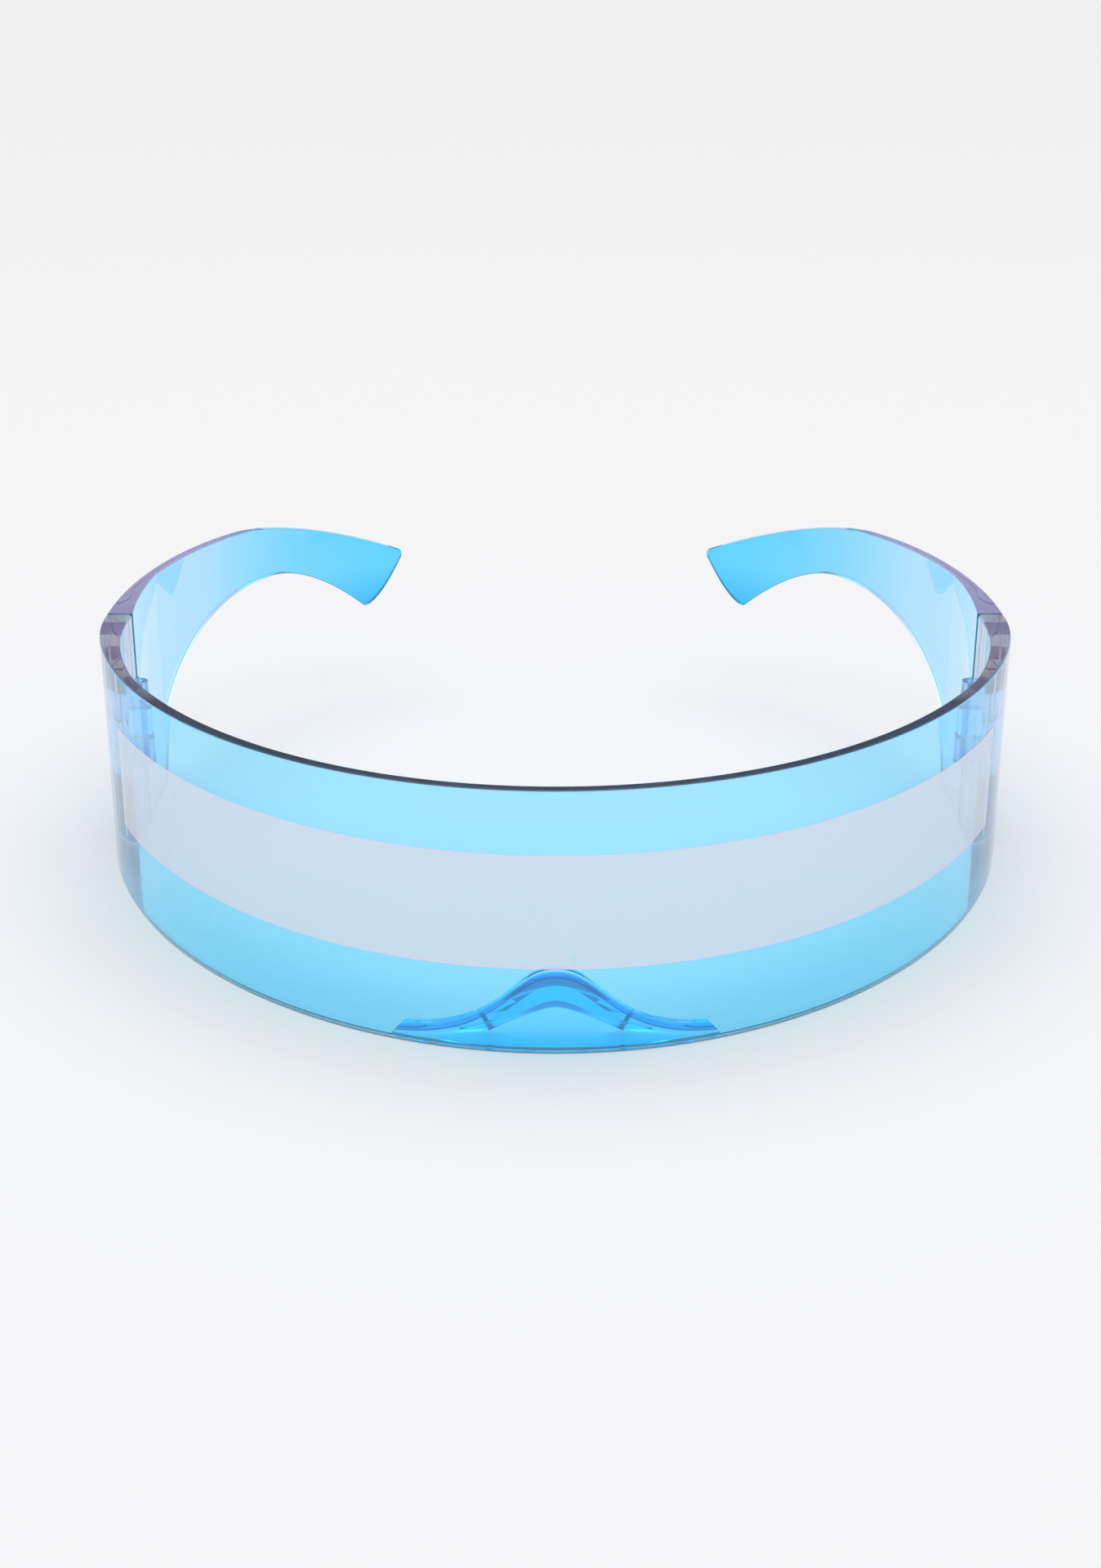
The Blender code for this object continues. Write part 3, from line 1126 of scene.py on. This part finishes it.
@dataclass(frozen=True)
class Temple:
    """One temple: a band that bows in towards the ear, arched below and drooping to a slanted tip."""

    side: Side
    knuckles: Knuckles
    plan: tuple[Pair, ...] = ((0.0730, 0.0818), (0.0730, 0.0840), (0.0776, 0.1505), (0.0310, 0.1604))
    root_wall: float = 0.0042
    wall: float = 0.0020
    taper_length: float = 0.025
    droop_from: float = 0.059
    droop: float = 0.0085
    droop_power: float = 1.7
    arch_start: float = 0.020
    arch_crest: float = 0.068
    arch_height: float = 0.0269
    arch_power: float = 1.7
    arch_roundness: float = 0.6
    arch_fall: float = 0.0094
    arch_fall_power: float = 1.9
    tip_heel: float = 0.089
    tip_heel_height: float = 0.0175
    tip_edge: float = 0.0010
    tip_power: float = 1.6
    pitch: float = 0.0010
    steep_reach: float = 0.006
    steep_steps: int = 24
    samples: int = 600

    def length(self) -> float:
        """Return the temple's length along its plan."""
        a, b, c, d = (Vector(corner) for corner in self.plan)
        total, last = 0.0, a
        for i in range(1, self.samples + 1):
            t = i / self.samples
            point = (1 - t) ** 3 * a + 3 * t * (1 - t) ** 2 * b + 3 * t * t * (1 - t) * c + t**3 * d
            total += (point - last).length
            last = point
        return total

    def tree(self, material: Material) -> GeometryTree:
        """Build the tree that bends a straight blank into the temple.

        Args:
            material: The finish of the temple.

        Returns:
            The tree, with its sizes as named inputs.
        """
        tree = GeometryTree(f"temple band {self.side.word}")
        end = tree.size("Length", self.length())
        side = tree.size("Side", float(self.side.value))
        height = tree.size("Height", HEIGHT)
        wall = tree.size("Wall", self.wall)
        root_wall = tree.size("Root Wall", self.root_wall)
        taper = tree.size("Taper Length", self.taper_length)
        droop = tree.size("Droop", self.droop)
        droop_from = tree.size("Droop From", self.droop_from)
        arch_start = tree.size("Arch Start", self.arch_start)
        arch_crest = tree.size("Arch Crest", self.arch_crest)
        arch_height = tree.size("Arch Height", self.arch_height)
        arch_fall = tree.size("Arch Fall", self.arch_fall)
        heel = tree.size("Tip Heel", self.tip_heel)
        heel_height = tree.size("Tip Heel Height", self.tip_heel_height)
        tip_edge = tree.size("Tip Edge", self.tip_edge)
        s, through, up = tree.place()
        corners = [(x, FRONT_Y + y, 0.0) for x, y in self.plan]
        names = ("Start", "Start Handle", "End Handle", "End")
        sockets = {"Resolution": self.samples, **dict(zip(names, corners))}
        curve = tree.node("GeometryNodeCurvePrimitiveBezierSegment", {"mode": "POSITION"}, sockets)
        sample = tree.node(
            "GeometryNodeSampleCurve",
            {"mode": "LENGTH", "data_type": "FLOAT"},
            {"Curves": curve.outputs[0], "Length": s},
        )
        spot_x, spot_y, _ = tree.axes(sample.outputs["Position"])
        run_x, run_y, _ = tree.axes(sample.outputs["Tangent"])
        top = height - droop * s.share(droop_from, end) ** self.droop_power
        tip_top = height - droop - tip_edge
        steep = (1 - (1 - s.share(arch_start, arch_crest)) ** self.arch_power) ** self.arch_roundness
        fall = s.share(arch_crest, heel) ** self.arch_fall_power
        arch = arch_height * steep - arch_fall * fall
        bottom = arch + (tip_top - heel_height) * s.share(heel, end) ** self.tip_power
        growth = (root_wall - wall) * (1 - s.share(0.0, taper))
        inset = through + (through > wall * 0.5) * growth
        upper_half = up > height * 0.5
        z = bottom + up + upper_half * (top - height - bottom)
        x = (spot_x - run_y * inset) * side
        y = spot_y + run_x * inset
        tree.finish(x, y, z, material)
        return tree

    def stations(self) -> list[float]:
        """Return the places along the temple, closer together where the arch starts steeply."""
        end = self.length()
        count = round(end / self.pitch)
        even = [end * i / count for i in range(count + 1)]
        start, reach, steps = self.arch_start, self.steep_reach, self.steep_steps
        near = [start + reach * (i / steps) ** 2 for i in range(steps)]
        kept = [s for s in even if not start - self.pitch / 2 < s < start + reach]
        return sorted({*kept, *near})

    def build(self, material: Material) -> Object:
        """Make the temple.

        Args:
            material: Its finish.

        Returns:
            The temple, riding on its own body.
        """
        name = f"temple_arm_{self.side.word}"
        blank = Blank(self.wall, 0.0, HEIGHT).mesh(self.stations())
        mesh = self.tree(material).apply(name, blank, {"Side": float(self.side.value)})
        if self.side is Side.RIGHT:
            mesh.flip_normals()
        piece = add_piece(name, carved(mesh, self.knuckles.temple_cuts(self.side)), material)
        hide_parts(f"temple_{self.side.word}")
        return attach(piece, f"temple_{self.side.word}")


# ---- studio


@dataclass(frozen=True)
class Studio:
    """A seamless white table, a white room and a soft box, seen from in front and above."""

    camera_place: Point = (-0.00073, -0.31185, 0.12450)
    camera_pitch: float = math.radians(69.47)
    lens: float = 45.69
    sensor: float = 36.0
    clip_start: float = 0.01
    table_radius: float = 1.2
    table_reach: float = 60.0
    table_rise: float = math.radians(4)
    table_drop: float = 0.00005
    table_sides: int = 64
    floor_white: float = 0.96
    floor_roughness: float = 0.9
    floor_specular: float = 0.1
    low_light: float = 0.12
    high_light: float = 2.14
    light_power: float = 3.0
    backdrop: float = 0.86
    room_white: Colour = (0.995, 0.995, 1.01)
    lamp_place: Point = (0.0, 0.1, 1.2)
    lamp_aim: Point = (0.0, 0.0, 0.02)
    lamp_size: float = 1.2
    lamp_watts: float = 0.6
    bounces: int = 24

    def build_camera(self) -> None:
        """Make the camera."""
        data = bpy.data.cameras.new("camera")
        data.lens = self.lens
        data.sensor_width = self.sensor
        data.clip_start = self.clip_start
        camera = linked("camera", data)
        camera.location = self.camera_place
        camera.rotation_euler = (self.camera_pitch, 0.0, 0.0)
        bpy.context.scene.camera = camera

    def build_floor(self) -> None:
        """Make the white table top, which rises gently far away so that no horizon shows."""
        bm = bmesh.new()
        far = self.table_reach
        rim = (self.table_radius, 0.0), (far, (far - self.table_radius) * math.tan(self.table_rise))
        turns = [2 * math.pi * i / self.table_sides for i in range(self.table_sides)]
        rings = []
        for radius, z in rim:
            spots = [(radius * math.cos(t), radius * math.sin(t), z - self.table_drop) for t in turns]
            rings.append([bm.verts.new(spot) for spot in spots])
        inner, outer = rings
        bm.faces.new(inner)
        for i, vertex in enumerate(inner):
            bm.faces.new((inner[i - 1], outer[i - 1], outer[i], vertex))
        bmesh.ops.recalc_face_normals(bm, faces=bm.faces)
        mesh = to_mesh(bm, "table_top")
        made = bpy.data.materials.new("table white")
        made.use_nodes = True
        shader = made.node_tree.nodes["Principled BSDF"]
        shader.inputs["Base Color"].default_value = (self.floor_white,) * 3 + (1.0,)
        shader.inputs["Roughness"].default_value = self.floor_roughness
        shader.inputs["Specular IOR Level"].default_value = self.floor_specular
        add_piece("table_top", mesh, made)

    def build_room(self) -> None:
        """Fill the room with white light, strongest overhead, behind an even backdrop for the camera."""
        world = bpy.data.worlds.new("room")
        graph = shader_graph(world)
        way = graph.node("ShaderNodeTexCoord").outputs["Generated"]
        rise = graph.axes(way)[2].math("MAXIMUM", 0.0)
        light = self.low_light + (self.high_light - self.low_light) * rise**self.light_power
        seen = graph.term(graph.node("ShaderNodeLightPath"), "Is Camera Ray")
        strength = light + (self.backdrop - light) * seen
        back = graph.node(
            "ShaderNodeBackground", sockets={"Color": (*self.room_white, 1.0), "Strength": strength}
        )
        graph.node("ShaderNodeOutputWorld", sockets={"Surface": back.outputs[0]})
        bpy.context.scene.world = world

    def build_lamp(self) -> None:
        """Hang the soft box over the table, aimed at the glasses."""
        data = bpy.data.lights.new("soft box over the table", "AREA")
        data.shape = "RECTANGLE"
        data.size = data.size_y = self.lamp_size
        data.energy = self.lamp_watts
        lamp = linked(data.name, data)
        place = Vector(self.lamp_place)
        aim = (Vector(self.lamp_aim) - place).to_track_quat("-Z", "Y")
        lamp.matrix_world = Matrix.Translation(place) @ aim.to_matrix().to_4x4()

    def build(self) -> None:
        """Make the whole studio."""
        self.build_camera()
        self.build_floor()
        self.build_room()
        self.build_lamp()
        scene = bpy.context.scene
        scene.view_settings.view_transform = "Standard"
        for limit in ("max", "glossy", "transmission", "transparent_max"):
            setattr(scene.cycles, f"{limit}_bounces", self.bounces)


def main() -> None:
    """Build every piece and the studio."""
    logging.basicConfig(level=logging.INFO, format="%(name)s: %(message)s")
    Studio().build()
    violet, sky, clear_sky = (0.40, 0.32, 0.46), (0.36, 0.80, 1.0), (0.42, 0.78, 1.0)
    lens = LensPlastic("lens blue", layer=sky, depth_tint=violet, density=15.0)
    hood = BridgePlastic(
        "bridge blue",
        layer=(0.0, 0.70, 1.0),
        depth_tint=(0.03, 0.55, 0.98),
        density=60.0,
        # painted light: the bridge emits more, in a deeper blue
        glow=0.07,
        glow_tint=(0.0, 0.55, 1.0),
    )
    arm = TemplePlastic(
        # the temples' rims take a lilac painted shade
        "temple blue", layer=clear_sky, depth_tint=violet, density=15.0, rim_end=(0.62, 0.32, 0.60)
    )
    film = MirrorFilm(
        "silver film", silver=(0.86, 0.86, 0.90), fringe=(0.96, 0.80, 0.92), cover=0.50, gloss=0.16
    )
    plan, knuckles = Plan(), Knuckles()
    visor = Visor(plan, knuckles)
    pieces = [visor.build_shield(lens.material()), visor.build_stripe(film.material())]
    pieces.append(NoseBridge(plan).build(hood.material()))
    arm_material = arm.material()
    for side in Side:
        pieces.append(Temple(side, knuckles).build(arm_material))
        pieces.append(knuckles.build_pin(side, arm_material))
    for piece in pieces:
        log.info("%s: %d faces", piece.name, len(piece.data.polygons))


if __name__ == "__main__":
    main()
